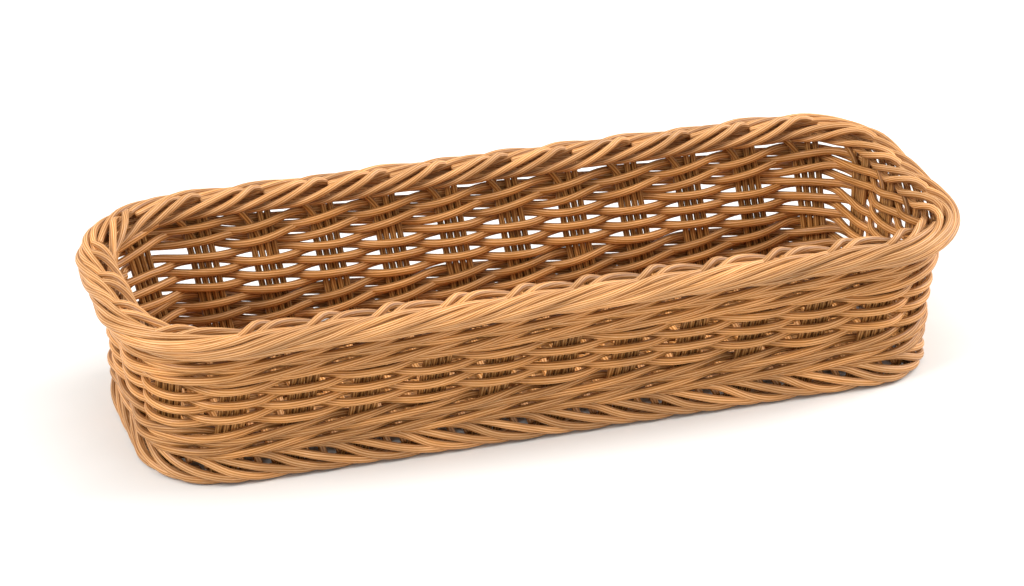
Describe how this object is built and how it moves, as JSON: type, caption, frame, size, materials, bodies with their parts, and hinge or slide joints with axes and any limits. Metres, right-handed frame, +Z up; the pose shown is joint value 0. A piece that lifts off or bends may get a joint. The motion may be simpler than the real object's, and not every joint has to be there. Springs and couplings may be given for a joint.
{
  "type": "bread basket",
  "caption": "Long open woven bread basket with rounded corners, flared walls, rope-like rolled rim and braided foot, woven from ribbed plastic strand",
  "frame": {"origin": "centre of the basket on the ground under its foot", "axes": "+X along the basket's length, +Y from the front long side to the back one, +Z up"},
  "size_m": [0.4022, 0.1612, 0.0792],
  "materials": {
    "weaving_strand": "satin extruded polypropylene strand with fine lengthwise ribs, honey tan",
    "stake_strand": "satin extruded polypropylene strand with fine lengthwise ribs, darker honey brown",
    "border_strand": "satin extruded polypropylene strand with fine lengthwise ribs, light honey tan"
  },
  "bodies": {
    "root": {"base_stakes": "stake_strand", "base_weavers": "weaving_strand", "front_stakes": "stake_strand", "right_stakes": "stake_strand", "back_stakes": "stake_strand", "left_stakes": "stake_strand", "lower_wale_strand_1": "weaving_strand", "lower_wale_strand_2": "weaving_strand", "lower_wale_strand_3": "weaving_strand", "wall_weaver_lap_1": "weaving_strand", "wall_weaver_lap_2": "weaving_strand", "wall_weaver_lap_3": "weaving_strand", "wall_weaver_lap_4": "weaving_strand", "wall_weaver_lap_5": "weaving_strand", "wall_weaver_lap_6": "weaving_strand", "upper_wale_strand_1": "weaving_strand", "upper_wale_strand_2": "weaving_strand", "upper_wale_strand_3": "weaving_strand", "rim_first_strands": "border_strand", "rim_second_strands": "border_strand", "foot_first_strands": "border_strand", "foot_second_strands": "border_strand"}
  },
  "joints": []
}
